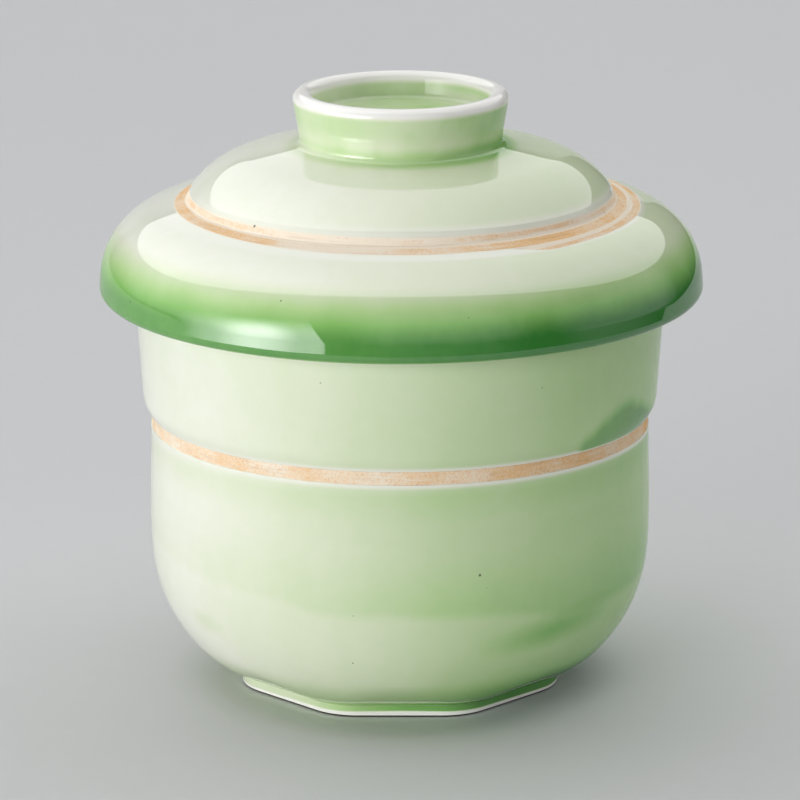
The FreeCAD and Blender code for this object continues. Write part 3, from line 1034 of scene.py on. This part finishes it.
def ring_masks(w, radius, turn):
    """Tan of the brushed rings, their outer edge, and the inner edge of the main ring.

    The main ring goes all round, a thin one leaves it on the right, and a pale one follows
    the dome's foot. At the front the brush had run nearly dry, so the tan is washed out."""
    cosine = w.calc("COSINE", turn)
    main_in = w.raised(32.45 * MM, cosine, 0.55 * MM)
    main_out = w.raised(33.95 * MM, cosine, 0.85 * MM)
    main = w.window(radius, main_in, main_out, RING_SOFT)
    on_right = w.both(w.fade(turn, math.radians(24), math.radians(38)),
                      w.fade(turn, math.radians(160), math.radians(120)))
    thin_in = w.fade(turn, math.radians(25), math.radians(75), 35.9 * MM, 34.85 * MM)
    thin_out = w.fade(turn, math.radians(25), math.radians(75), 36.5 * MM, 36.0 * MM)
    thin = w.both(on_right, w.window(radius, thin_in, thin_out, RING_SOFT))
    by_dome = w.window(radius, 31.9 * MM, 32.3 * MM, 0.12 * MM)
    outer_edge = w.raised(main_out, on_right, w.less(thin_out, main_out))
    washed = w.hump(turn, math.radians(-14), math.radians(42))
    tan = w.times(main, w.fade(washed, 0.0, 1.0, 0.95, 0.42))
    tan = w.larger(tan, w.times(thin, THIN_RING_TAN))
    tan = w.larger(tan, w.times(by_dome, w.fade(washed, 0.0, 1.0, 0.6, 0.25)))
    return tan, outer_edge, main_in


def lid_glaze(kit, lid, look):
    """Celadon of the lid, with the brushed rings at the dome's foot."""
    made, w = new_material("celadon_lid")
    spot = w.use(kit.turning, lean=(lid.lean_front, -lid.lean_right, 0), aside=(lid.aside, 0, 0))
    place, radius, height, turn = spot.outputs
    t = lid_thickness(w, lid, place, height, radius, turn)
    glaze = w.use(kit.celadon, thickness=t, place=place).outputs["Colour"]
    ragged = w.swing(w.vector("MULTIPLY", place, (0.1, 0.1, 1.0)), 1.5 * MM, 3.0)
    brushed = w.plus(radius, w.times(ragged, 0.5 * MM))
    tan, outer_edge, main_in = ring_masks(w, brushed, turn)
    bare = w.both(w.fade(radius, 31.7 * MM, 31.95 * MM),
                  w.fade(w.less(brushed, outer_edge), 0.20 * MM, 0.0),
                  w.fade(height, 72.5 * MM, 73 * MM))
    step_r = SKIRT_R - lid.shoulder_width
    at_toe = w.both(w.hump(radius, step_r + 0.10 * MM, 0.16 * MM),
                    w.fade(w.sine(turn), 0.42, 0.0))
    at_edge = w.both(w.hump(w.less(brushed, main_in), 0.0, 0.16 * MM),
                     w.hump(turn, math.radians(-12), math.radians(24)))
    strands = w.noise(w.bundle(radius, w.times(turn, 1.5 * MM), height), 0.42 * MM)
    strands = w.less(strands, w.times(w.larger(at_toe, at_edge), BURNT))
    clay = w.use(kit.clay, place=place, streaks=strands, pale=w.fade(tan, 0.0, 1.0, 1.0, -0.15))
    finish_surface(w, kit, look, glaze, clay.outputs["Colour"], clay.outputs["Grain"], bare, place)
    return made


def own(piece, node, material):
    """Join a finished piece to the frame: body, replaced node, slot and material."""
    piece.data.materials.append(material)
    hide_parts(node)
    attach(piece, "root")


# The shared node groups, once the first piece has asked for them
made_kits = []


def shared_kit(scene):
    """The node groups that both glazes share."""
    if not made_kits:
        made_kits.append(Kit(scene.custard_glaze))
    return made_kits[0]


class CUSTARD_OT_cup(bpy.types.Operator):
    """Turn the cup with its octagonal foot and glaze it"""
    bl_idname = "custard.cup"
    bl_label = "Make the cup"

    def execute(self, context):
        scene = context.scene
        cup = scene.custard_cup
        lid = scene.custard_lid
        piece = turned_piece("custard_cup", cup_rings(cup), lambda place: lean_rim(place, lid))
        own(piece, "cup", cup_glaze(shared_kit(scene), cup, scene.custard_glaze))
        return {"FINISHED"}


class CUSTARD_OT_lid(bpy.types.Operator):
    """Turn the lid with its ring knob and glaze it"""
    bl_idname = "custard.lid"
    bl_label = "Make the lid"

    def execute(self, context):
        scene = context.scene
        lid = scene.custard_lid
        rings = lid_rings(scene.custard_cup, lid)
        piece = turned_piece("custard_lid", rings, lambda place: lean_lid(place, lid))
        own(piece, "lid", lid_glaze(shared_kit(scene), lid, scene.custard_glaze))
        return {"FINISHED"}


class Softbox(NamedTuple):
    """A lamp of the studio.

    fades says how much of its width and height its left, right, lower and upper sides take to
    fade out, roll is in degrees, and mirrored is whether the glaze mirrors it."""
    name: str
    place: tuple
    width: float
    height: float
    brightness: float
    target: tuple = (0.0, 0.0, 0.05)
    fades: tuple = (0.0, 0.0, 0.0, 0.0)
    roll: float = 0
    outline: str = "RECTANGLE"
    mirrored: bool = True


LAMPS = (
    Softbox("overhead scrim", (0.0, 0.87, 0.70), width=2.36, height=2.36, brightness=1.12,
            target=(0.0, 0.87, 0.0), outline="ELLIPSE"),
    Softbox("low softbox", (-0.90, -0.47, 0.05), width=1.30, height=0.76, brightness=3.0,
            fades=(0.4, 0.02, 0.1, 0.6), roll=17),
    Softbox("low softbox middle", (-0.82, -0.57, 0.07), width=0.70, height=0.60, brightness=5.4,
            target=(0.0, 0.0, 0.10), fades=(0.5, 0.4, 0.5, 0.5), roll=17),
    Softbox("left scrim", (-0.98, 0.10, 0.42), width=1.5, height=0.95, brightness=0.4,
            fades=(0.25, 0.25, 0.1, 0.3)),
    Softbox("key", (-0.49, -0.85, 0.25), width=0.5, height=0.5, brightness=4.2, mirrored=False),
    Softbox("front fill", (0.33, -1.25, 0.42), width=2.0, height=1.4, brightness=0.40,
            fades=(0.3, 0.3, 0.3, 0.3)),
    Softbox("right panel", (1.05, 0.05, 0.30), width=1.7, height=0.9, brightness=0.46,
            fades=(0.3, 0.3, 0.1, 0.4)),
    Softbox("right fill", (1.05, 0.25, 0.26), width=0.5, height=0.5, brightness=1.4,
            mirrored=False),
)


def aim(thing, location, target):
    """Place a lamp or camera and point its -Z axis at the target, its top upwards."""
    thing.location = location
    thing.rotation_euler = (Vector(target) - Vector(location)).to_track_quat("-Z", "Y").to_euler()


# A side that has no fade of its own still takes this share of the softbox
SHARPEST_FADE = 0.001


def add_lamp(box):
    """Softbox that faces its target, of even brightness up to its fading sides."""
    data = bpy.data.lights.new(box.name, "AREA")
    data.shape = box.outline
    data.size = box.width
    data.size_y = box.height
    area = box.width * box.height * (math.pi / 4 if box.outline == "ELLIPSE" else 1)
    data.energy = box.brightness * math.pi * area
    if any(box.fades):
        data.use_nodes = True
        w = Wiring(data.node_tree)
        across, up, _ = w.parts(w.add("ShaderNodeNewGeometry").outputs["Parametric"])
        left, right, low, high = [max(side, SHARPEST_FADE) for side in box.fades]
        glow = w.both(w.fade(across, 0.0, left), w.fade(across, 1.0, 1.0 - right),
                      w.fade(up, 0.0, low), w.fade(up, 1.0, 1.0 - high))
        w.join(glow, data.node_tree.nodes["Emission"].inputs["Strength"])
    lamp = bpy.data.objects.new(box.name, data)
    lamp.visible_glossy = box.mirrored
    bpy.context.scene.collection.objects.link(lamp)
    aim(lamp, box.place, box.target)
    lamp.rotation_euler.rotate_axis("Z", math.radians(box.roll))


# Floor: half its width, and its left half width behind the object, where it is wider
FLOOR_HALF = 0.38
WIDE_HALF = 0.90
# Its front edge, and the two places between which it widens
FLOOR_FRONT = 0.25
WIDENS_FROM = -0.05
WIDENS_TO = 0.05
# Where it bends up into the backdrop, the bend's radius and steps, and the backdrop's top
SWEEP_START = 1.5
SWEEP_ROUND = 0.6
SWEEP_STEPS = 16
SWEEP_TOP = 2.4
# Painted shade: the paper darkens from near to far, to a share of its colour. It also has a faint
# mottle
FLOOR_NEAR = -0.25
FLOOR_FAR = 0.60
FAR_SHADE_SHARE = 0.83
PAPER_GRAIN = 4 * MM
PAPER_MOTTLE = 0.15
PAPER_ROUGHNESS = 0.7


def add_floor(rgb):
    """Plain floor that bends up into a backdrop behind the object, its colour darker further back as
    painted shade.
    """
    line = [(-FLOOR_FRONT, 0.0), (WIDENS_FROM, 0.0), (WIDENS_TO, 0.0), (SWEEP_START, 0.0)]
    for k in range(1, SWEEP_STEPS + 1):
        a = math.pi / 2 * k / SWEEP_STEPS
        line.append((SWEEP_START + SWEEP_ROUND * math.sin(a), SWEEP_ROUND * (1 - math.cos(a))))
    line.append((SWEEP_START + SWEEP_ROUND, SWEEP_TOP))
    bm = bmesh.new()
    rows = []
    for y, z in line:
        left = WIDE_HALF if y >= WIDENS_TO else FLOOR_HALF
        rows.append([bm.verts.new((x, y, z)) for x in (-left, FLOOR_HALF)])
    for low, high in zip(rows, rows[1:]):
        bm.faces.new((low[0], low[1], high[1], high[0]))
    mesh = bpy.data.meshes.new("floor")
    bm.to_mesh(mesh)
    bm.free()
    mesh.shade_smooth()
    floor = bpy.data.objects.new("floor", mesh)
    bpy.context.scene.collection.objects.link(floor)
    made, w = new_material("floor_paper")
    shader = w.add("ShaderNodeBsdfPrincipled")
    place = w.raw_place()
    # Painted shade: the floor's colour is darker further back
    far = w.fade(w.parts(place)[1], FLOOR_NEAR, FLOOR_FAR)
    paper = w.raised(far, w.swing(place, PAPER_GRAIN, 3.0), PAPER_MOTTLE)
    w.join(w.tint(paper, (*rgb, 1), (*[value * FAR_SHADE_SHARE for value in rgb], 1)),
           shader.inputs["Base Color"])
    shader.inputs["Roughness"].default_value = PAPER_ROUGHNESS
    w.join(shader.outputs[0], w.add("ShaderNodeOutputMaterial").inputs["Surface"])
    mesh.materials.append(made)


class CUSTARD_OT_studio(bpy.types.Operator):
    """Set up the camera, the softboxes and the pale floor"""
    bl_idname = "custard.studio"
    bl_label = "Make the studio"

    def execute(self, context):
        scene = context.scene
        studio = scene.custard_studio
        target = Vector((0, 0, studio.aim_height))
        for lamp in LAMPS:
            add_lamp(lamp)
        add_floor(studio.floor)
        world = bpy.data.worlds.new("room")
        world.use_nodes = True
        world.node_tree.nodes["Background"].inputs[0].default_value = (*studio.room, 1)
        scene.world = world
        data = bpy.data.cameras.new("photo camera")
        data.sensor_width = 36.0
        data.lens = studio.focal_pixels / studio.picture_pixels * data.sensor_width
        camera = bpy.data.objects.new("photo camera", data)
        scene.collection.objects.link(camera)
        e = studio.elevation
        back = Vector((0, -math.cos(e), math.sin(e)))
        aim(camera, target + back * studio.distance, target)
        scene.camera = camera
        scene.view_settings.view_transform = "Standard"
        return {"FINISHED"}


class CUSTARD_PT_panel(bpy.types.Panel):
    """Buttons and sizes in the sidebar of the 3D view"""
    bl_idname = "CUSTARD_PT_panel"
    bl_label = "Custard cup"
    bl_space_type = "VIEW_3D"
    bl_region_type = "UI"
    bl_category = "Custard cup"

    def draw(self, context):
        for operator in (CUSTARD_OT_cup, CUSTARD_OT_lid, CUSTARD_OT_studio):
            self.layout.operator(operator.bl_idname)
        for key in GROUPS:
            box = self.layout.box()
            group = getattr(context.scene, key)
            for name in group.__annotations__:
                box.prop(group, name)


GROUPS = {
    "custard_cup": CupShape,
    "custard_lid": LidShape,
    "custard_glaze": GlazeLook,
    "custard_studio": StudioLook,
}
CLASSES = (CupShape, LidShape, GlazeLook, StudioLook,
           CUSTARD_OT_cup, CUSTARD_OT_lid, CUSTARD_OT_studio, CUSTARD_PT_panel)


def register():
    """Register the classes and hang the property groups on the scene."""
    for made in CLASSES:
        bpy.utils.register_class(made)
    for key, group in GROUPS.items():
        setattr(bpy.types.Scene, key, PointerProperty(type=group))


def unregister():
    """Take everything off again."""
    for key in GROUPS:
        delattr(bpy.types.Scene, key)
    for made in reversed(CLASSES):
        bpy.utils.unregister_class(made)


def main():
    register()
    bpy.ops.custard.cup()
    bpy.ops.custard.lid()
    bpy.ops.custard.studio()
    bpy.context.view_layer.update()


if __name__ == "__main__":
    main()
